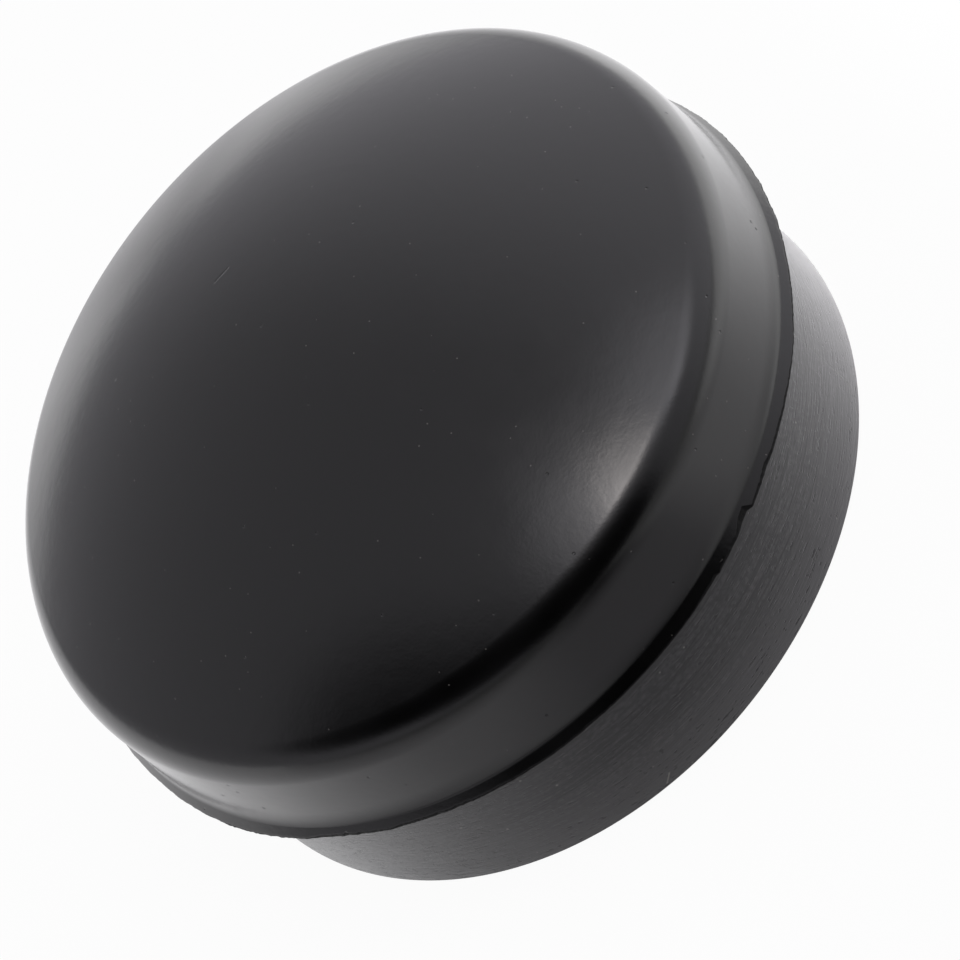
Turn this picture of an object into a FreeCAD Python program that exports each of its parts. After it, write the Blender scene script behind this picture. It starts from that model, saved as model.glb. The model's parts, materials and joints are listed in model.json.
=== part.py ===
import FreeCAD
import Part
import Sketcher
import math
import os

# Moulded rubber cap that covers the nut of a wiper arm: one piece, turned about Z.
# Millimetres and degrees. The open rim of the skirt stands on Z = 0, the dome is on top.

SIZES = [
    # name, value, what it measures
    ("skirt_diameter", 20.2, "outside of the skirt, pressed into the arm's round socket"),
    ("skirt_depth", 4.8, "from the rim up to the lip's underside"),
    ("skirt_wall", 1.6, "rubber around the hollow, which clears the nut"),
    ("rim_bevel", 0.25, "bevel on the outer edge of the open rim"),
    ("mouth_chamfer", 0.4, "lead-in at the mouth of the hollow"),
    ("lip_overhang", 0.9, "how far the trimmed edge of the sealing lip stands out past the skirt"),
    ("lip_edge", 0.06, "height of that trimmed edge"),
    ("flare_slope", 55.0, "slope of the lip's upper face, from level"),
    ("waist_radius", 0.5, "hollow round between the wall and the lip"),
    ("wall_draft", 1.0, "lean of the wall, outwards below the shoulder, that lets it out of the mould"),
    ("shoulder_overhang", 0.6, "how far the widest ring of the dome stands out past the skirt"),
    ("shoulder_height", 2.45, "from the lip's underside up to the shoulder's centre"),
    ("shoulder_radius", 1.4, "round between the crown and the wall"),
    ("crown_radius", 18.7, "radius of the domed top"),
    ("crown_wall", 1.9, "rubber between the crown and the roof of the hollow"),
    ("roof_round", 1.0, "hollow round between the bore and its roof"),
]

NEAR = 1e-4

# a line's or an arc's ends and an arc's centre, as a sketch counts them
START, END, CENTRE = range(1, 4)
ORIGIN = (-1, START)

doc = FreeCAD.newDocument("wiper_nut_cover_cap")

sheet = doc.addObject("Spreadsheet::Sheet", "sizes")
for row, (name, value, note) in enumerate(SIZES, start=1):
    sheet.set("A%d" % row, name)
    sheet.set("B%d" % row, str(value))
    sheet.set("C%d" % row, note)
    sheet.setAlias("B%d" % row, name)
doc.recompute()


def size(name):
    return float(sheet.get(name))


def point(r, z):
    return FreeCAD.Vector(r, z, 0)


def line(first, last):
    return Part.LineSegment(first, last)


def arc(centre, radius, first_turn, last_turn):
    """An arc that turns left between two directions, in radians from the outward axis."""
    circle = Part.Circle(centre, FreeCAD.Vector(0, 0, 1), radius)
    return Part.ArcOfCircle(circle, first_turn, last_turn)


def along(start, turn, length):
    return start + point(math.cos(turn) * length, math.sin(turn) * length)


def origin_plane(body, role):
    for feature in body.Origin.OriginFeatures:
        if feature.Role == role:
            return feature
    raise ValueError("no plane " + role)


def add_section(body, name, geometry):
    """A sketch of half a section, outwards and up, on the plane through the axis."""
    sketch = body.newObject("Sketcher::SketchObject", name)
    sketch.AttachmentSupport = (origin_plane(body, "XZ_Plane"), [""])
    sketch.MapMode = "FlatFace"
    sketch.addGeometry(geometry, False)
    return sketch


def constrain(sketch, *values):
    sketch.addConstraint(Sketcher.Constraint(*values))


def drive(sketch, name, formula, *values):
    """A named dimension that follows the sheet."""
    index = sketch.addConstraint(Sketcher.Constraint(*values))
    sketch.renameConstraint(index, name)
    sketch.setExpression("Constraints." + name, formula)


def measure(sketch, name, *values):
    """A named dimension that is read off the section, for others to follow."""
    index = sketch.addConstraint(Sketcher.Constraint(*values))
    sketch.setDriving(index, False)
    sketch.renameConstraint(index, name)


def shoulder_centre():
    return point(
        size("skirt_diameter") / 2 + size("shoulder_overhang") - size("shoulder_radius"),
        size("skirt_depth") + size("shoulder_height"),
    )


def crown_centre():
    """The crown's centre, on the axis below the shoulder's, where the two arcs run on smoothly."""
    shoulder = shoulder_centre()
    apart = size("crown_radius") - size("shoulder_radius")
    return point(0, shoulder.y - math.sqrt(apart ** 2 - shoulder.x ** 2))


def outer_section(body):
    """Skirt, lip, hollow waist, drafted wall, shoulder and crown."""
    skirt_r = size("skirt_diameter") / 2
    lip_r = skirt_r + size("lip_overhang")
    seat_z = size("skirt_depth")
    slope = math.radians(size("flare_slope"))
    draft = math.radians(size("wall_draft"))
    lip_top = point(lip_r, seat_z + size("lip_edge"))
    shoulder = shoulder_centre()
    wall_top = along(shoulder, draft, size("shoulder_radius"))
    crown = crown_centre()
    crown_turn = math.atan2(shoulder.y - crown.y, shoulder.x)
    top = point(0, crown.y + size("crown_radius"))

    # the wall and the lip's upper face meet in a corner, which the waist rounds off
    lean = math.tan(slope) * math.tan(draft)
    corner_r = (
        wall_top.x + (wall_top.y - lip_top.y) * math.tan(draft) - lip_top.x * lean
    ) / (1 - lean)
    corner = point(corner_r, lip_top.y + (lip_r - corner_r) * math.tan(slope))
    reach = size("waist_radius") * math.tan((math.pi / 2 - slope - draft) / 2)
    flare_top = along(corner, -slope, reach)
    wall_foot = along(corner, math.pi / 2 + draft, reach)
    waist = along(wall_foot, draft, size("waist_radius"))

    geometry = [
        line(point(0, 0), point(skirt_r, 0)),
        line(point(skirt_r, 0), point(skirt_r, seat_z)),
        line(point(skirt_r, seat_z), point(lip_r, seat_z)),
        line(point(lip_r, seat_z), lip_top),
        line(lip_top, flare_top),
        arc(waist, size("waist_radius"), math.pi + draft, 1.5 * math.pi - slope),
        line(wall_foot, wall_top),
        arc(shoulder, size("shoulder_radius"), draft, crown_turn),
        arc(crown, size("crown_radius"), crown_turn, math.pi / 2),
        line(top, point(0, 0)),
    ]
    (rim_line, skirt_line, seat_line, edge_line, flare_line,
     waist_arc, wall_line, shoulder_arc, crown_arc, axis_line) = range(len(geometry))
    sketch = add_section(body, "outer_section", geometry)

    constrain(sketch, "Coincident", rim_line, START, *ORIGIN)
    constrain(sketch, "Coincident", rim_line, END, skirt_line, START)
    constrain(sketch, "Coincident", skirt_line, END, seat_line, START)
    constrain(sketch, "Coincident", seat_line, END, edge_line, START)
    constrain(sketch, "Coincident", edge_line, END, flare_line, START)
    constrain(sketch, "Tangent", flare_line, END, waist_arc, END)
    constrain(sketch, "Tangent", waist_arc, START, wall_line, START)
    constrain(sketch, "Tangent", wall_line, END, shoulder_arc, START)
    constrain(sketch, "Tangent", shoulder_arc, END, crown_arc, START)
    constrain(sketch, "Coincident", crown_arc, END, axis_line, START)
    constrain(sketch, "Coincident", axis_line, END, rim_line, START)
    constrain(sketch, "Vertical", *ORIGIN, crown_arc, CENTRE)
    constrain(sketch, "Horizontal", rim_line)
    constrain(sketch, "Vertical", skirt_line)
    constrain(sketch, "Horizontal", seat_line)
    constrain(sketch, "Vertical", edge_line)
    constrain(sketch, "Vertical", axis_line)

    drive(sketch, "skirt_reach", "sizes.skirt_diameter / 2",
          "DistanceX", *ORIGIN, rim_line, END, skirt_r)
    drive(sketch, "seat_level", "sizes.skirt_depth",
          "DistanceY", *ORIGIN, skirt_line, END, seat_z)
    drive(sketch, "lip_reach", "sizes.skirt_diameter / 2 + sizes.lip_overhang",
          "DistanceX", *ORIGIN, edge_line, START, lip_r)
    drive(sketch, "lip_edge", "sizes.lip_edge",
          "DistanceY", edge_line, START, edge_line, END, size("lip_edge"))
    drive(sketch, "flare_turn", "(180 - sizes.flare_slope) * 1 deg",
          "Angle", flare_line, math.pi - slope)
    drive(sketch, "waist_radius", "sizes.waist_radius",
          "Radius", waist_arc, size("waist_radius"))
    drive(sketch, "wall_turn", "(90 + sizes.wall_draft) * 1 deg",
          "Angle", wall_line, math.pi / 2 + draft)
    drive(sketch, "shoulder_reach",
          "sizes.skirt_diameter / 2 + sizes.shoulder_overhang - sizes.shoulder_radius",
          "DistanceX", *ORIGIN, shoulder_arc, CENTRE, shoulder.x)
    drive(sketch, "shoulder_level", "sizes.skirt_depth + sizes.shoulder_height",
          "DistanceY", *ORIGIN, shoulder_arc, CENTRE, shoulder.y)
    drive(sketch, "shoulder_radius", "sizes.shoulder_radius",
          "Radius", shoulder_arc, size("shoulder_radius"))
    drive(sketch, "crown_radius", "sizes.crown_radius",
          "Radius", crown_arc, size("crown_radius"))
    measure(sketch, "top_level", "DistanceY", *ORIGIN, crown_arc, END, top.y)
    return sketch


def hollow_section(body, outer):
    """The blind hollow over the nut, whose roof keeps an even wall under the crown."""
    bore_r = size("skirt_diameter") / 2 - size("skirt_wall")
    corner_radius = size("roof_round")
    roof_r = size("crown_radius") - size("crown_wall")
    crown = crown_centre()
    corner_rise = math.sqrt((roof_r - corner_radius) ** 2 - (bore_r - corner_radius) ** 2)
    corner = point(bore_r - corner_radius, crown.y + corner_rise)
    corner_turn = math.atan2(corner_rise, corner.x)
    top = along(crown, math.pi / 2, roof_r)

    geometry = [
        line(point(0, 0), point(bore_r, 0)),
        line(point(bore_r, 0), point(bore_r, corner.y)),
        arc(corner, corner_radius, 0, corner_turn),
        arc(crown, roof_r, corner_turn, math.pi / 2),
        line(top, point(0, 0)),
    ]
    mouth_line, bore_line, corner_arc, roof_arc, axis_line = range(len(geometry))
    sketch = add_section(body, "hollow_section", geometry)

    constrain(sketch, "Coincident", mouth_line, START, *ORIGIN)
    constrain(sketch, "Coincident", mouth_line, END, bore_line, START)
    constrain(sketch, "Tangent", bore_line, END, corner_arc, START)
    constrain(sketch, "Tangent", corner_arc, END, roof_arc, START)
    constrain(sketch, "Coincident", roof_arc, END, axis_line, START)
    constrain(sketch, "Coincident", axis_line, END, mouth_line, START)
    constrain(sketch, "Vertical", *ORIGIN, roof_arc, CENTRE)
    constrain(sketch, "Horizontal", mouth_line)
    constrain(sketch, "Vertical", bore_line)
    constrain(sketch, "Vertical", axis_line)

    drive(sketch, "bore_reach", "sizes.skirt_diameter / 2 - sizes.skirt_wall",
          "DistanceX", *ORIGIN, mouth_line, END, bore_r)
    drive(sketch, "roof_round", "sizes.roof_round",
          "Radius", corner_arc, corner_radius)
    drive(sketch, "roof_radius", "sizes.crown_radius - sizes.crown_wall",
          "Radius", roof_arc, roof_r)
    drive(sketch, "roof_level", outer.Name + ".Constraints.top_level - sizes.crown_wall * 1 mm",
          "DistanceY", *ORIGIN, roof_arc, END, top.y)
    return sketch


def turned(body, kind, name, sketch):
    feature = body.newObject(kind, name)
    feature.Profile = sketch
    feature.ReferenceAxis = (sketch, ["V_Axis"])
    feature.Angle = 360
    doc.recompute()
    return feature


def ring_edges(feature, radius, height):
    """Names of the level circles about the axis with this radius and height."""
    names = []
    for number, edge in enumerate(feature.Shape.Edges, start=1):
        if edge.Degenerated or not isinstance(edge.Curve, Part.Circle):
            continue
        curve = edge.Curve
        if abs(curve.Radius - radius) > NEAR or abs(abs(curve.Axis.z) - 1) > NEAR:
            continue
        if abs(curve.Center.z - height) < NEAR:
            names.append("Edge%d" % number)
    return names


def bevelled(body, name, base, edges, formula):
    feature = body.newObject("PartDesign::Chamfer", name)
    feature.Base = (base, edges)
    feature.setExpression("Size", formula)
    doc.recompute()
    return feature


def make_cover_cap():
    body = doc.addObject("PartDesign::Body", "cover_cap")
    body.Label = "cover_cap"
    skirt_r = size("skirt_diameter") / 2
    bore_r = skirt_r - size("skirt_wall")

    outer = outer_section(body)
    blank = turned(body, "PartDesign::Revolution", "blank", outer)
    hollow = turned(body, "PartDesign::Groove", "hollow", hollow_section(body, outer))
    if hollow.Shape.Volume >= blank.Shape.Volume:
        raise ValueError("the hollow isn't cut")

    rim = bevelled(body, "rim_bevel", hollow, ring_edges(hollow, skirt_r, 0), "sizes.rim_bevel")
    bevelled(body, "mouth_chamfer", rim, ring_edges(rim, bore_r, 0), "sizes.mouth_chamfer")
    body.Placement = FreeCAD.Placement()
    return body


def check(bodies):
    for item in doc.Objects:
        if "Invalid" in item.State or "Error" in item.State:
            raise ValueError(item.Name + " is " + ", ".join(item.State))
        if item.TypeId == "Sketcher::SketchObject" and item.solve() != 0:
            raise ValueError(item.Name + " doesn't solve")
    for body in bodies:
        if body.Shape.isNull() or not body.Shape.isValid() or len(body.Shape.Solids) != 1:
            raise ValueError(body.Label + " isn't one sound solid")


bodies = [make_cover_cap()]
doc.recompute()
check(bodies)

os.makedirs("parts", exist_ok=True)
for body in bodies:
    body.Shape.exportStep(os.path.join("parts", body.Label + ".step"))
    box = body.Shape.optimalBoundingBox()
    print(body.Label, "volume %.2f" % body.Shape.Volume,
          "box %.3f %.3f %.3f" % (box.XLength, box.YLength, box.ZLength))
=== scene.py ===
"""Looks of a wiper nut cover cap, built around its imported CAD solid.

The cap is one black rubber moulding: a satin dome on an upright wall, a thin lip whose edge was trimmed
after moulding, a skirt ground to its size and a plain hollow for the nut. Lengths are in millimetres
until a mesh or a light is made, and angles are in degrees. Azimuth 0 is +X, and the camera is on the
-Y side.
"""

import json
import math

import bpy
import numpy as np
from mathutils import Matrix, Vector


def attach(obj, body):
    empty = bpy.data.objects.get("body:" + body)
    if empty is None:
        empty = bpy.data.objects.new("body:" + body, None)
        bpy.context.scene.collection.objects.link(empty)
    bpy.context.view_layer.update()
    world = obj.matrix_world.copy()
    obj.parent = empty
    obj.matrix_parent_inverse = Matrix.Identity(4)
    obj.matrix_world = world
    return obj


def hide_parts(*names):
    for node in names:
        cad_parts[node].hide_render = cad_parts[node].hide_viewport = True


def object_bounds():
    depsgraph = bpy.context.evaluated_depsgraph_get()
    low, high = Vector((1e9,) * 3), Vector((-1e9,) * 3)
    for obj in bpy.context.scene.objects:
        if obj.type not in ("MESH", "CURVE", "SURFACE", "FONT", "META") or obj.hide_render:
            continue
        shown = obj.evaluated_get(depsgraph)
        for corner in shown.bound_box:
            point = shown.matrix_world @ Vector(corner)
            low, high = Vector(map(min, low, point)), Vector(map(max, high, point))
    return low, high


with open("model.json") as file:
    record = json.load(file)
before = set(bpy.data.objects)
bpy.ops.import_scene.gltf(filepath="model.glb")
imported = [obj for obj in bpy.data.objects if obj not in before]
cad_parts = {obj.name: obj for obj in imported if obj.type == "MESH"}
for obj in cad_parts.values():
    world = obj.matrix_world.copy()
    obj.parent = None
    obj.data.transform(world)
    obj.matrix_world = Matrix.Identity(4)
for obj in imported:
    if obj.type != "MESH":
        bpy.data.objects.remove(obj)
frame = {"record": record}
CAD_LOW, CAD_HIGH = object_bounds()

MM = 0.001
MOUNTS = {mount["name"]: mount for mount in frame["record"]["mounts"]}

# Sizes that the frame states.
SKIRT_RADIUS = MOUNTS["skirt_plug"]["dims"]["r_mm"]
HOLLOW_RADIUS = MOUNTS["nut_hollow"]["dims"]["r_mm"]
LIP_LEVEL = MOUNTS["lip_seat"]["pos_m"][2] / MM
LIP_RADIUS = CAD_HIGH.x / MM

# The section's other sizes, as the solid has them.
LIP_EDGE = 0.06
FLARE_SLOPE = 55.0
WALL_DRAFT = 1.0
SHOULDER_OVERHANG = 0.6
SHOULDER_HEIGHT = 2.45
SHOULDER_RADIUS = 1.4
CROWN_RADIUS = 18.7
CROWN_WALL = 1.9
ROOF_ROUND = 1.0
RIM_BEVEL = 0.25
MOUTH_CHAMFER = 0.4

# Rubber has no knife edges: the small rounds that its corners keep.
LIP_TOP_ROUND = 0.05
LIP_CORNER = 0.02
RIM_CORNER = 0.06

# The hollow waist starts this far above its corner and ends this far below it. It leaves the wall more
# softly than the solid's round does, by up to 0.02 mm, as its shading in the photo tells.
WAIST_ABOVE = 0.45
WAIST_BELOW = 0.17

# How far the lip's edge lies inside a round lip, in mm, by azimuth. It stands out where negative.
LIP_CUT = (
    (-180, 0), (-172, -0.02), (-165, -0.045), (-160, -0.04), (-154, -0.02), (-151, -0.01),
    (-149.8, 0.02), (-146, 0.04), (-141, 0.03), (-137, 0.01), (-130, 0.03), (-124, 0.01),
    (-119, 0), (-118, -0.01), (-117, 0.005), (-107, 0), (-105.5, 0.012), (-103.5, 0.004),
    (-102, 0), (-88, 0), (-81, 0.02), (-79.8, 0.03), (-79.2, -0.02), (-78.6, 0), (-77.5, 0.01),
    (-74, 0.04), (-71.6, 0.12), (-70.2, 0.13), (-69.4, 0), (-67, 0.02), (-64, 0.05), (-61, 0.03),
    (-50, 0), (-20, 0), (-14, 0.01), (-10, 0.02), (-6, 0.05), (-2, 0.08), (2, 0.125), (6, 0.19),
    (12, 0.21), (22, 0.1), (34, 0.02), (60, 0), (155, 0), (164, -0.05), (170, -0.03), (176, 0),
    (180, 0))

# Tears along the cut: their half width in columns and their usual height in mm. The height is scaled
# by azimuth, and it is least where the edge faces the camera.
TEARS = ((1, 0.002), (4, 0.003), (12, 0.003), (40, 0.003))
TEAR_SCALES = ((-180, 1.5), (-130, 1.5), (-116, 0.7), (-78, 0.7), (-60, 1.5), (180, 1.5))
TEAR_SEED = 11

# All around, the cut is this much deeper than the two tables say. Along the radius, its edge stays at
# least this far inside the sides of the solid's box.
CUT_DEPTH = 0.003
BOX_ROOM = 0.006

# Columns of faces around the cap: few near the axis and in the hollow, many along the ragged lip.
FEW_COLUMNS = 256
COLUMNS = 512
LIP_COLUMNS = 2048

# Steps between the rings of each round, in degrees.
CROWN_STEP = 0.8
SHOULDER_STEP = 2
ROOF_STEP = 1.6
ROOF_CORNER_STEP = 6

# Rings inside the longer straight stretches, and along the waist. On the flare, each ring gives way to
# the lip's cut by its own share.
WALL_RINGS = 5
WAIST_RINGS = 13
FLARE_SHARES = (0.2, 0.4, 0.6, 0.8)
SKIRT_RINGS = 8
BORE_RINGS = 4

# Edges that turn by more than this are shaded sharp.
SHARP_CORNER = 40


def arc(centre, radius, start, end, step):
    """(radius, height) points of an arc, by the angles of its outward normal at its start and end."""
    count = max(2, round(abs(end - start) / step))
    angles = np.radians(np.linspace(start, end, count + 1))
    return [(centre[0] + radius * math.sin(a), centre[1] + radius * math.cos(a)) for a in angles]


def straight(start, end, count):
    """(radius, height) points inside a straight stretch, without its two ends."""
    shares = np.linspace(0, 1, count + 2)[1:-1]
    return [tuple(np.add(start, np.subtract(end, start) * share)) for share in shares]


def outward(angle):
    """Unit (radius, height) direction at that angle from the axis."""
    return np.array([math.sin(math.radians(angle)), math.cos(math.radians(angle))])


def dome(wall_radius, level, corner, end_radius):
    """Centres of a corner round and of the dome that it runs into, and the angle at which they meet."""
    corner_centre = (wall_radius - corner, level)
    rise = math.sqrt((end_radius - corner) ** 2 - corner_centre[0] ** 2)
    meeting = math.degrees(math.asin(corner_centre[0] / (end_radius - corner)))
    return corner_centre, (0.0, level - rise), meeting


def softened(before, corner, after, radius):
    """Points of a small round in place of the corner of an outline."""
    into = np.subtract(before, corner) / np.linalg.norm(np.subtract(before, corner))
    out = np.subtract(after, corner) / np.linalg.norm(np.subtract(after, corner))
    half = math.acos(float(into @ out)) / 2
    reach = radius / math.tan(half)
    centre = np.add(corner, (into + out) / np.linalg.norm(into + out) * radius / math.sin(half))
    first = corner + into * reach - centre
    last = corner + out * reach - centre
    points = []
    for share in np.linspace(0, 1, 4):
        between = first * (1 - share) + last * share
        points.append(tuple(centre + between / np.linalg.norm(between) * radius))
    return points


def eased(start, corner, end, count):
    """Points of a curve that leaves one side of a corner and turns smoothly into the other."""
    shares = np.linspace(0, 1, count)
    return [tuple((1 - t) ** 2 * start + 2 * t * (1 - t) * corner + t ** 2 * end) for t in shares]


def ring(points, columns, follow=0.0, rise=0.0):
    """Rings of the mesh: where each lies, its columns, and how it gives way where the lip is trimmed."""
    return [(r, z, columns, follow, rise) for r, z in points]


def trimmed_lip(azimuths):
    """How far the lip's edge was cut back at each azimuth, in mm.

    The lip was trimmed by hand after moulding. Its cut wanders a little, left one clear step and a few
    nicks where the tool was set down again, and went deepest on the +X side.
    """
    cut = np.interp(azimuths, *zip(*LIP_CUT))
    rng = np.random.default_rng(TEAR_SEED)
    tear = rng.normal(0, 1, azimuths.size)
    rough = np.zeros(azimuths.size)
    for width, height in TEARS:
        window = np.hanning(2 * width + 3)
        wrapped = np.concatenate([tear[-width - 1:], tear, tear[:width + 1]])
        smooth = np.convolve(wrapped, window, "valid")
        rough += height * smooth / smooth.std()
        tear = rng.normal(0, 1, azimuths.size)
    rough *= np.interp(azimuths, *zip(*TEAR_SCALES))
    angles = np.radians(azimuths)
    past_box = 1 - 1 / np.maximum(np.abs(np.cos(angles)), np.abs(np.sin(angles)))
    return np.maximum(cut + rough + CUT_DEPTH, BOX_ROOM + LIP_RADIUS * past_box)


def outer_rings():
    """Rings from the top of the dome over the wall and waist to the lip, and then its trimmed edge."""
    shoulder, crown, meeting = dome(
        SKIRT_RADIUS + SHOULDER_OVERHANG, LIP_LEVEL + SHOULDER_HEIGHT, SHOULDER_RADIUS, CROWN_RADIUS)
    crown_points = arc(crown, CROWN_RADIUS, 0, meeting, CROWN_STEP)
    centre_count = len(crown_points) // 2
    wall_angle = 90 - WALL_DRAFT
    shoulder_points = arc(shoulder, SHOULDER_RADIUS, meeting, wall_angle, SHOULDER_STEP)

    lip_top = np.array([LIP_RADIUS, LIP_LEVEL + LIP_EDGE])
    lip_bottom = np.array([LIP_RADIUS, LIP_LEVEL])
    sides = np.array([outward(wall_angle), outward(FLARE_SLOPE)])
    waist = np.linalg.solve(sides, [sides[0] @ shoulder_points[-1], sides[1] @ lip_top])
    up_wall = np.subtract(shoulder_points[-1], waist)
    down_flare = lip_top - waist
    waist_points = eased(waist + up_wall * WAIST_ABOVE / np.linalg.norm(up_wall), waist,
                         waist + down_flare * WAIST_BELOW / np.linalg.norm(down_flare), WAIST_RINGS)
    wall_points = straight(shoulder_points[-1], waist_points[0], WALL_RINGS)
    top_round = softened(waist_points[-1], lip_top, lip_bottom, LIP_TOP_ROUND)
    bottom_round = softened(lip_top, lip_bottom, (SKIRT_RADIUS, LIP_LEVEL), LIP_CORNER)
    slope = math.tan(math.radians(FLARE_SLOPE))

    rings = ring(crown_points[:1], 1)
    rings += ring(crown_points[1:centre_count], FEW_COLUMNS)
    rings += ring(crown_points[centre_count:], COLUMNS)
    rings += ring(shoulder_points[1:] + wall_points + waist_points, COLUMNS)
    flare_points = straight(waist_points[-1], top_round[0], len(FLARE_SHARES))
    for share, point in zip(FLARE_SHARES, flare_points):
        rings += ring([point], LIP_COLUMNS, share, slope)
    rings += ring(top_round[:2], LIP_COLUMNS, 1, slope)
    edge = ring(top_round[2:], LIP_COLUMNS, 1, slope)
    edge += ring(straight(top_round[-1], bottom_round[0], 1), LIP_COLUMNS, 1, slope / 2)
    edge += ring(bottom_round, LIP_COLUMNS, 1)
    return rings, edge


def skirt_rings():
    """Rings of the lip's underside, the skirt and its rim."""
    skirt_top = (SKIRT_RADIUS, LIP_LEVEL)
    corners = [skirt_top, (SKIRT_RADIUS, RIM_BEVEL), (SKIRT_RADIUS - RIM_BEVEL, 0.0),
               (HOLLOW_RADIUS + MOUTH_CHAMFER, 0.0), (HOLLOW_RADIUS, MOUTH_CHAMFER),
               (HOLLOW_RADIUS, LIP_LEVEL)]
    rims = [softened(*corners[i - 1:i + 2], RIM_CORNER) for i in range(1, len(corners) - 1)]
    underside = ring(straight((LIP_RADIUS, LIP_LEVEL), skirt_top, 2) + [skirt_top], COLUMNS)
    skirt = ring(straight(skirt_top, rims[0][0], SKIRT_RINGS) + rims[0], COLUMNS)
    rim = ring(rims[1] + straight(rims[1][-1], rims[2][0], 2) + rims[2] + rims[3], COLUMNS)
    return underside, skirt, rim


def hollow_rings():
    """Rings of the hollow, from above its mouth up to the middle of its domed roof."""
    _, crown, _ = dome(
        SKIRT_RADIUS + SHOULDER_OVERHANG, LIP_LEVEL + SHOULDER_HEIGHT, SHOULDER_RADIUS, CROWN_RADIUS)
    roof_radius = CROWN_RADIUS - CROWN_WALL
    corner_radius = HOLLOW_RADIUS - ROOF_ROUND
    corner_level = crown[1] + math.sqrt((roof_radius - ROOF_ROUND) ** 2 - corner_radius ** 2)
    meeting = math.degrees(math.asin(corner_radius / (roof_radius - ROOF_ROUND)))
    corner = arc((corner_radius, corner_level), ROOF_ROUND, 90, meeting, ROOF_CORNER_STEP)
    roof = arc(crown, roof_radius, meeting, 0, ROOF_STEP)
    bore = straight((HOLLOW_RADIUS, MOUTH_CHAMFER + RIM_CORNER), corner[0], BORE_RINGS)
    return ring(bore + corner + roof[1:-1], FEW_COLUMNS) + ring(roof[-1:], 1)


def ring_vertices(one_ring):
    """Corner points of a ring in metres, with the lip's cut taken off."""
    radius, height, columns, follow, rise = one_ring
    azimuths = np.arange(columns) * 360 / columns - 180
    cut = follow * trimmed_lip(azimuths) if follow else np.zeros(columns)
    angles = np.radians(azimuths)
    reach = radius - cut
    return np.column_stack([reach * np.cos(angles), reach * np.sin(angles), height + cut * rise]) * MM


def stitch(first, first_count, second, second_count):
    """Faces between two rings of vertices. Where one has more columns, each wide face becomes a fan."""
    faces = []
    if first_count == second_count:
        for i in range(first_count):
            j = (i + 1) % first_count
            faces.append((first + i, second + i, second + j, first + j))
        return faces
    wide_count, narrow_count = sorted((first_count, second_count))
    wide, narrow = (first, second) if first_count == wide_count else (second, first)
    fan = narrow_count // wide_count
    for i in range(wide_count):
        here = wide + i
        beside = wide + (i + 1) % wide_count
        for k in range(fan):
            a = narrow + i * fan + k
            b = narrow + (i * fan + k + 1) % narrow_count
            corner = here if k < fan / 2 else beside
            faces.append((corner, a, b) if wide == first else (corner, b, a))
        if wide_count > 1:
            middle = narrow + (i * fan + math.ceil(fan / 2)) % narrow_count
            faces.append((middle, here, beside) if wide == first else (beside, here, middle))
    return faces


def cap_mesh(zones):
    """The whole moulding as one closed mesh. Each zone is a run of rings and the finish of its faces."""
    vertices, faces, finishes = [], [], []
    count = 0
    last = None
    for finish, rings in zones:
        for one_ring in rings:
            points = ring_vertices(one_ring)
            if last is not None:
                made = stitch(*last, count, len(points))
                faces += made
                finishes += [finish] * len(made)
            vertices.append(points)
            last = (count, len(points))
            count += len(points)
    mesh = bpy.data.meshes.new("cover_cap_rubber")
    mesh.from_pydata(np.concatenate(vertices).tolist(), [], faces)
    mesh.polygons.foreach_set("material_index", finishes)
    mesh.polygons.foreach_set("use_smooth", [True] * len(faces))
    mesh.set_sharp_from_angle(angle=math.radians(SHARP_CORNER))
    mesh.validate()
    return mesh


def linear(hex_colour):
    """Linear RGBA of an sRGB hex colour."""
    parts = [int(hex_colour[i:i + 2], 16) / 255 for i in (1, 3, 5)]
    return (*[p / 12.92 if p <= 0.04045 else ((p + 0.055) / 1.055) ** 2.4 for p in parts], 1.0)


def add(tree, kind, inputs=None, **settings):
    """Adds a shader node with its settings. An input takes a plain value or the output that feeds it."""
    node = tree.nodes.new("ShaderNode" + kind)
    for name, value in settings.items():
        setattr(node, name, value)
    for name, value in (inputs or {}).items():
        if isinstance(value, bpy.types.NodeSocket):
            tree.links.new(value, node.inputs[name])
        else:
            node.inputs[name].default_value = value
    return node


def new_material(name):
    """An empty node material: its tree and its output node."""
    material = bpy.data.materials.new(name)
    material.use_nodes = True
    material.node_tree.nodes.clear()
    return material, material.node_tree, add(material.node_tree, "OutputMaterial")


def glancing_gloss(tree, front, side, begin=0.4, end=0.92):
    """Roughness that falls from its front value as the surface turns its side to the eye.

    The fine relief of rubber is so shallow that it looks almost polished along the surface.
    """
    turned = add(tree, "LayerWeight", {"Blend": 0.5}).outputs["Facing"]
    return add(tree, "MapRange", {0: turned, 1: begin, 2: end, 3: front, 4: side}).outputs[0]


def strewn(tree, place, apart, radius):
    """1 inside small round grains or pits strewn about the rubber and 0 outside, by lengths in mm."""
    nearest = add(tree, "TexVoronoi", {"Vector": place, "Scale": 1 / (apart * MM)}).outputs["Distance"]
    share = radius / apart
    return add(tree, "MapRange", {0: nearest, 1: 0.6 * share, 2: share, 3: 1.0, 4: 0.0}).outputs[0]


def on_cap(azimuth, radius, height):
    """A place on the cap."""
    angle = math.radians(azimuth)
    return Vector((radius * math.cos(angle), radius * math.sin(angle), height)) * MM


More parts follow.
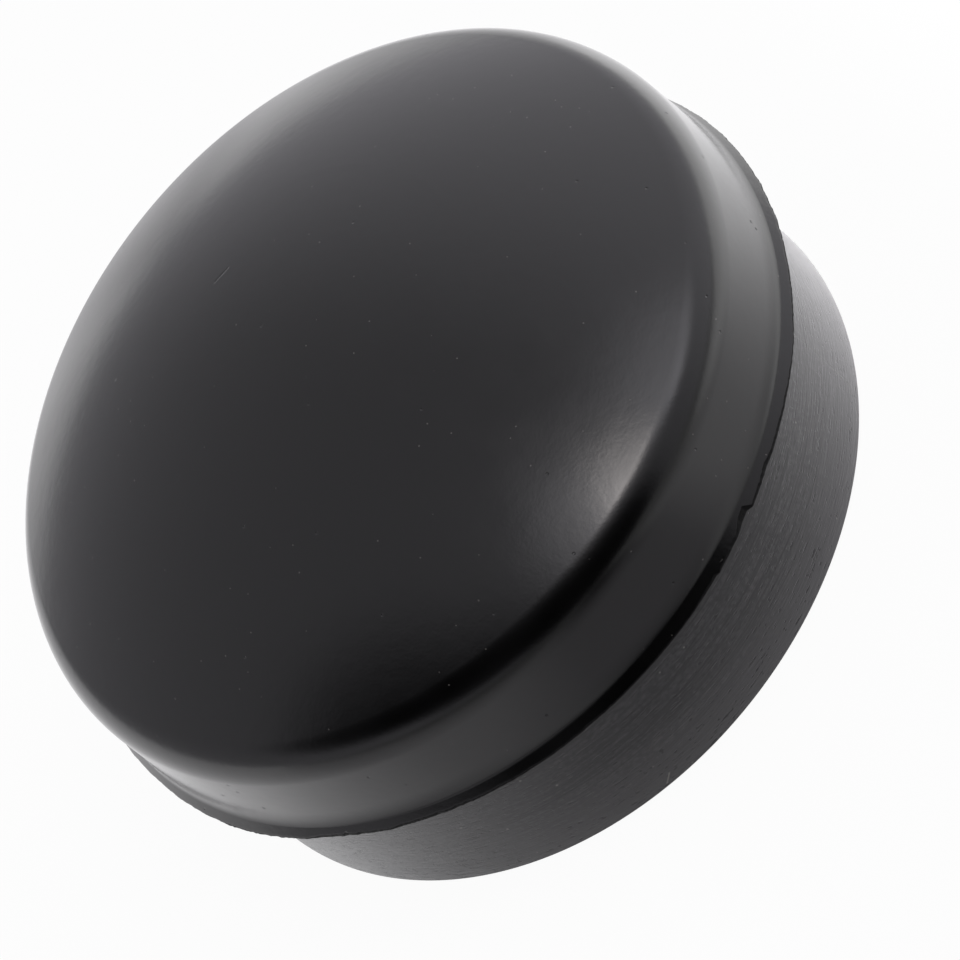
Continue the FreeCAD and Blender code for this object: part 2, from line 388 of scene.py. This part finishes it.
def mark(tree, place, first, last, width):
    """1 along a straight mark between two places on the cap and 0 beyond its width, in mm."""
    run = last - first
    offset = add(tree, "VectorMath", {0: place, 1: first}, operation="SUBTRACT").outputs[0]
    if run.length > 0:
        along = run / run.length_squared
        share = add(tree, "VectorMath", {0: offset, 1: along}, operation="DOT_PRODUCT")
        share = add(tree, "Clamp", {"Value": share.outputs["Value"]}).outputs[0]
        foot = add(tree, "VectorMath", {0: run, "Scale": share}, operation="SCALE").outputs[0]
        offset = add(tree, "VectorMath", {0: offset, 1: foot}, operation="SUBTRACT").outputs[0]
    away = add(tree, "VectorMath", {0: offset}, operation="LENGTH").outputs["Value"]
    half = 0.5 * width * MM
    return add(tree, "MapRange", {0: away, 1: 0.5 * half, 2: half, 3: 1.0, 4: 0.0}).outputs[0]


def spots(tree, place, places, width):
    """Masks of small round spots, one at each (azimuth, radius, height) place on the cap."""
    return [mark(tree, place, on_cap(*one), on_cap(*one), width) for one in places]


def most(tree, masks):
    """The greatest of several masks."""
    total = masks[0]
    for one in masks[1:]:
        total = add(tree, "Math", {0: total, 1: one}, operation="MAXIMUM").outputs[0]
    return total


def relief(tree, height, depth, under=None):
    """The surface's direction with a relief of that depth in mm, over another relief if there is one."""
    inputs = {"Strength": 1.0, "Distance": depth * MM, "Height": height}
    if under is not None:
        inputs["Normal"] = under
    return add(tree, "Bump", inputs).outputs[0]


def blend(tree, share, first, last):
    """A colour between two others."""
    mixed = add(tree, "Mix", data_type="RGBA")
    for index, value in ((0, share), (6, first), (7, last)):
        if isinstance(value, bpy.types.NodeSocket):
            tree.links.new(value, mixed.inputs[index])
        else:
            mixed.inputs[index].default_value = value
    return mixed.outputs[2]


def satin_rubber():
    """Black rubber pressed in a smooth mould: nearly black in itself, with a soft satin reflection."""
    material, tree, output = new_material("moulded satin rubber")
    place = add(tree, "TexCoord").outputs["Object"]
    grain = add(tree, "TexNoise", {"Vector": place, "Scale": 1 / (0.09 * MM), "Detail": 2.0}).outputs[0]
    swell = add(tree, "TexNoise", {"Vector": place, "Scale": 1 / (0.3 * MM), "Detail": 0.0}).outputs[0]
    cloud = add(tree, "TexNoise", {"Vector": place, "Scale": 1 / (1.5 * MM), "Detail": 4.0}).outputs[0]
    front = add(tree, "MapRange", {0: cloud, 1: 0.3, 2: 0.7, 3: 0.19, 4: 0.25}).outputs[0]
    wall_pits = ((-160.3, 10.72, 6.37), (-155.7, 10.7, 7.23), (-154.5, 10.72, 5.95),
                 (-155.6, 10.71, 6.83), (-28.8, 10.73, 5.67), (-28.1, 10.73, 5.85))
    pits = most(tree, [strewn(tree, place, 1.1, 0.045), *spots(tree, place, wall_pits, 0.1)])
    groove = mark(tree, place, on_cap(91.9, 3.46, 11.04), on_cap(83.8, 3.42, 11.04), 0.08)
    light_scratch = mark(tree, place, on_cap(84.7, 7.61, 9.74), on_cap(82.8, 7.69, 9.70), 0.06)
    lip_fleck = mark(tree, place, on_cap(-79.0, 10.95, 5.0), on_cap(-77.6, 10.97, 4.93), 0.05)
    lip_specks = ((-160.1, 10.92, 5.04),)
    dust = most(tree, [strewn(tree, place, 0.5, 0.027), light_scratch,
                       *spots(tree, place, lip_specks, 0.08), lip_fleck])
    sunk = add(tree, "Math", {0: 1.0, 1: most(tree, [pits, groove])}, operation="SUBTRACT").outputs[0]
    normal = relief(tree, sunk, 0.02, relief(tree, grain, 0.0015, relief(tree, swell, 0.0015)))
    shader = add(tree, "BsdfPrincipled", {
        "Base Color": blend(tree, dust, linear("#040404"), linear("#4c4b48")),
        "Roughness": glancing_gloss(tree, front, 0.2), "IOR": 1.5, "Normal": normal})
    tree.links.new(shader.outputs[0], output.inputs[0])
    return material


def ground_rubber():
    """Rubber ground to its size: matt and greyer, with short fine scratches around the skirt."""
    material, tree, output = new_material("ground rubber")
    place = add(tree, "TexCoord").outputs["Object"]

    def stretched(around, tall, detail):
        """Noise drawn out around the skirt, from its length and its height in mm."""
        along = [1 / (around * MM), 1 / (around * MM), 1 / (tall * MM)]
        scaled = add(tree, "VectorMath", {0: place, 1: along}, operation="MULTIPLY").outputs[0]
        return add(tree, "TexNoise", {"Vector": scaled, "Scale": 1.0, "Detail": detail}).outputs[0]

    fine = stretched(0.6, 0.05, 2.0)
    mottle = add(tree, "TexNoise", {"Vector": place, "Scale": 1 / (0.14 * MM), "Detail": 3.0}).outputs[0]
    ragged = add(tree, "Math", {0: stretched(0.7, 0.06, 2.0), 1: mottle}, operation="ADD").outputs[0]
    dashes = add(tree, "MapRange", {0: ragged, 1: 1.13, 2: 1.25, 3: 0.0, 4: 1.0}).outputs[0]
    long_noise = stretched(4.0, 0.1, 2.0)
    streaks = add(tree, "MapRange", {0: long_noise, 1: 0.38, 2: 0.62, 3: 0.0, 4: 1.0}).outputs[0]
    cut = add(tree, "Math", {0: 1.0, 1: dashes}, operation="SUBTRACT").outputs[0]
    normal = relief(tree, cut, 0.005, relief(tree, fine, 0.009, relief(tree, mottle, 0.004)))
    skirt_specks = ((-120.3, 10.1, 3.57), (-133.8, 10.1, 2.7), (-128.5, 10.1, 2.0), (-117.2, 10.1, 2.71))
    light_scratch = mark(tree, place, on_cap(-106.5, 10.1, 0.36), on_cap(-105.1, 10.1, 0.6), 0.06)
    dust = most(tree, [strewn(tree, place, 0.9, 0.035), *spots(tree, place, skirt_specks, 0.09),
                       light_scratch])
    # Painted light and shade: the skirt's colour is paler towards its rim and darker up under the lip,
    # where the lip shades it.
    height = add(tree, "SeparateXYZ", {0: place}).outputs["Z"]
    foot = add(tree, "MapRange", {0: height, 1: 0.2 * MM, 2: 2.2 * MM, 3: 1.0, 4: 0.0}).outputs[0]
    patches = add(tree, "MapRange", {0: mottle, 1: 0.35, 2: 0.65, 3: 0.0, 4: 1.0}).outputs[0]
    worn = add(tree, "Math", {0: streaks, 1: patches}, operation="MULTIPLY").outputs[0]
    plain = blend(tree, foot, blend(tree, worn, linear("#292929"), linear("#494949")), linear("#525252"))
    scored = blend(tree, dashes, plain, linear("#1c1c1c"))
    shader = add(tree, "BsdfPrincipled", {
        "Base Color": blend(tree, dust, scored, linear("#807e79")),
        "Roughness": glancing_gloss(tree, 0.55, 0.2, 0.3, 0.68), "IOR": 1.5,
        "Sheen Weight": 0.7, "Sheen Roughness": 0.4, "Normal": normal})
    tree.links.new(shader.outputs[0], output.inputs[0])
    return material


def cut_rubber():
    """Rubber where the blade trimmed the lip: an open, dull black face with little reflection."""
    material, tree, output = new_material("cut rubber")
    place = add(tree, "TexCoord").outputs["Object"]
    tears = add(tree, "TexNoise", {"Vector": place, "Scale": 1 / (0.08 * MM), "Detail": 2.0}).outputs[0]
    shader = add(tree, "BsdfPrincipled", {
        "Base Color": linear("#020202"), "Roughness": 0.6, "IOR": 1.5, "Specular IOR Level": 0.12,
        "Normal": relief(tree, tears, 0.02)})
    tree.links.new(shader.outputs[0], output.inputs[0])
    return material


def build_cap():
    """The cap as one piece, in place of the plain solid."""
    outside, edge = outer_rings()
    underside, skirt, rim = skirt_rings()
    satin, ground, cut = range(3)
    zones = [(satin, outside), (cut, edge), (satin, underside), (ground, skirt), (ground, rim),
             (satin, hollow_rings())]
    cap = bpy.data.objects.new("cap_moulding", cap_mesh(zones))
    bpy.context.scene.collection.objects.link(cap)
    for material in (satin_rubber(), ground_rubber(), cut_rubber()):
        cap.data.materials.append(material)
    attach(cap, "root")
    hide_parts("cover_cap")


# The camera looks down on the standing cap, and is turned about its line of sight, as in the photo.
IMAGE_SIDE = 960
SENSOR = 36.0
CAMERA_ELEVATION = 44.58
CAMERA_ROLL = 51.4
FOCAL_PIXELS = 8593.0
CAMERA_DISTANCE = 220.0
LIP_CENTRE_PIXEL = (429.8, 447.6)


def build_camera():
    """A long lens from the -Y side, aimed so that the middle of the lip falls on its pixel."""
    elevation = math.radians(CAMERA_ELEVATION)
    roll = math.radians(CAMERA_ROLL)
    back = Vector((0, -math.cos(elevation), math.sin(elevation)))
    level = Vector((1, 0, 0))
    upright = back.cross(level)
    right = level * math.cos(roll) - upright * math.sin(roll)
    up = level * math.sin(roll) + upright * math.cos(roll)
    across = (LIP_CENTRE_PIXEL[0] - IMAGE_SIDE / 2) / FOCAL_PIXELS
    down = (LIP_CENTRE_PIXEL[1] - IMAGE_SIDE / 2) / FOCAL_PIXELS
    target = Vector((0, 0, LIP_LEVEL))
    position = target + CAMERA_DISTANCE * (back - across * right + down * up)
    data = bpy.data.cameras.new("camera")
    data.sensor_width = SENSOR
    data.lens = FOCAL_PIXELS * SENSOR / IMAGE_SIDE
    data.clip_start = 0.01
    camera = bpy.data.objects.new("camera", data)
    turned = Matrix((right, up, back)).transposed().to_4x4()
    camera.matrix_world = Matrix.Translation(position * MM) @ turned
    bpy.context.scene.collection.objects.link(camera)
    bpy.context.scene.camera = camera


# Round patches of the light tent: the zenith angle and the azimuth of each one's middle, and the angles
# from there up to which it is full and past which it has faded away. One is the tent's bright side.
# The glows, with their strength, are added to that. The dark gaps keep only a share of it all.
TENT_SIDE = (90, 25, 10, 77)
TENT_BRIGHT = 1.5
TENT_DIM = 0.65
GLOWS = ((41, -22, 6, 20, 1.5), (48, -29, 3, 9, 0.9), (21, -73, 3, 12, 1.2), (25, -50, 9, 20, 0.5))
GAPS = ((65, -88, 17, 31), (54, -122, 22, 38), (50, -156, 15, 33), (82, -88, 17, 33))
GAP_SHARE = 0.06


def towards(zenith, azimuth):
    """Unit direction at that angle from straight up, and that azimuth."""
    z, a = math.radians(zenith), math.radians(azimuth)
    return Vector((math.sin(z) * math.cos(a), math.sin(z) * math.sin(a), math.cos(z)))


def build_world():
    """A white light tent, brighter on the +X side.

    Soft glows lie near the lamp, and dark gaps by the camera and from there towards the -X side.
    """
    world = bpy.data.worlds.new("light tent")
    bpy.context.scene.world = world
    world.use_nodes = True
    tree = world.node_tree
    tree.nodes.clear()
    direction = add(tree, "TexCoord").outputs["Generated"]

    def patch(zenith, azimuth, inner, outer, centre, around):
        """A round patch: its centre value up to the inner angle, and the other one past the outer."""
        middle = towards(zenith, azimuth)
        facing = add(tree, "VectorMath", {0: direction, 1: middle}, operation="DOT_PRODUCT")
        faded = math.cos(math.radians(outer))
        full = math.cos(math.radians(inner))
        return add(tree, "MapRange", {
            0: facing.outputs["Value"], 1: faded, 2: full, 3: around, 4: centre},
            interpolation_type="SMOOTHSTEP").outputs[0]

    strength = patch(*TENT_SIDE, TENT_BRIGHT, TENT_DIM)
    for glow in GLOWS:
        strength = add(tree, "Math", {0: strength, 1: patch(*glow, 0)}, operation="ADD").outputs[0]
    for gap in GAPS:
        share = patch(*gap, GAP_SHARE, 1)
        strength = add(tree, "Math", {0: strength, 1: share}, operation="MULTIPLY").outputs[0]
    background = add(tree, "Background", {"Color": linear("#faf8ff"), "Strength": strength})
    output = add(tree, "OutputWorld")
    tree.links.new(background.outputs[0], output.inputs[0])


def build_lamp():
    """One round soft lamp above the cap, a little towards the camera and +X."""
    distance = 400 * MM
    half_angle = 7.0
    radiance = 8.0
    data = bpy.data.lights.new("soft_lamp", "AREA")
    data.shape = "DISK"
    data.size = 2 * distance * math.tan(math.radians(half_angle))
    area = math.pi * data.size ** 2 / 4
    data.energy = radiance * math.pi * area
    data.color = linear("#fff8f5")[:3]
    lamp = bpy.data.objects.new("soft_lamp", data)
    away = towards(zenith=28, azimuth=-53)
    lamp.location = away * distance
    lamp.rotation_mode = "QUATERNION"
    lamp.rotation_quaternion = away.to_track_quat("Z", "Y")
    bpy.context.scene.collection.objects.link(lamp)


def build_floor_lamp():
    """A small lamp above the paper beside the cap, on its +X side. Its cone passes beside the cap."""
    height = 300
    reach = 60
    beside_lip = 1
    data = bpy.data.lights.new("floor_lamp", "SPOT")
    data.spot_size = 2 * math.atan(reach / height)
    data.spot_blend = 0.35
    data.shadow_soft_size = 0.0
    data.energy = 6
    lamp = bpy.data.objects.new("floor_lamp", data)
    lamp.location = Vector((LIP_RADIUS + beside_lip + reach, 0, height)) * MM
    bpy.context.scene.collection.objects.link(lamp)


def build_floor():
    """A plain white floor that keeps the cap's soft shadow.

    The eye sees nearly plain white paper. The rubber's reflections alone also see a painted glow in the
    floor, behind the cap and at its two sides. The paper's colour is painted darker towards the camera,
    a painted shadow.
    """
    half = 600 * MM
    corners = [(-half, -half, 0), (half, -half, 0), (half, half, 0), (-half, half, 0)]
    mesh = bpy.data.meshes.new("floor")
    mesh.from_pydata(corners, [], [(0, 1, 2, 3)])
    floor = bpy.data.objects.new("floor", mesh)
    bpy.context.scene.collection.objects.link(floor)
    material, tree, output = new_material("white paper")
    white = add(tree, "Emission", {"Color": linear("#ffffff"), "Strength": 1.0})
    place = add(tree, "SeparateXYZ", {0: add(tree, "TexCoord").outputs["Object"]})

    def rising(axis, start, end, height):
        """A value that rises from 0 to a height between two places along an axis, in mm."""
        return add(tree, "MapRange", {
            0: place.outputs[axis], 1: start * MM, 2: end * MM, 3: 0.0, 4: height}).outputs[0]

    # Painted shadow: the paper's colour darkens towards the camera, for the shade on the tent's camera
    # side.
    paper = add(tree, "BsdfDiffuse", {
        "Color": blend(tree, rising("Y", -50, -16, 1.0), linear("#505050"), linear("#d4d4d4"))})
    # Painted reflection: a glow that only the rubber's reflections see, behind the cap and at its two
    # sides, not a lamp.
    painted_glow_share = rising("Y", -12, -2, 0.55)
    for side in (rising("X", 5, 9, 0.45), rising("X", -4, -10, 0.28)):
        painted_glow_share = add(tree, "Math", {0: painted_glow_share, 1: side}, operation="ADD").outputs[0]
    ray = add(tree, "LightPath").outputs
    white_share = 0.96
    seen = add(tree, "Math", {0: ray["Is Camera Ray"], 1: white_share}, operation="MULTIPLY").outputs[0]
    top = add(tree, "MixShader", {0: seen, 1: paper.outputs[0], 2: white.outputs[0]})
    mirrored = add(tree, "Math", {0: ray["Is Glossy Ray"], 1: ray["Is Transmission Ray"]},
                   operation="MAXIMUM").outputs[0]
    strength = add(tree, "Math", {0: mirrored, 1: painted_glow_share}, operation="MULTIPLY").outputs[0]
    painted_reflection_glow = add(tree, "Emission", {"Color": linear("#ffffff"), "Strength": strength})
    both = add(tree, "AddShader", {0: top.outputs[0], 1: painted_reflection_glow.outputs[0]})
    tree.links.new(both.outputs[0], output.inputs[0])
    mesh.materials.append(material)


build_cap()
build_camera()
build_world()
build_lamp()
build_floor_lamp()
build_floor()

bpy.context.scene.view_settings.view_transform = "Standard"
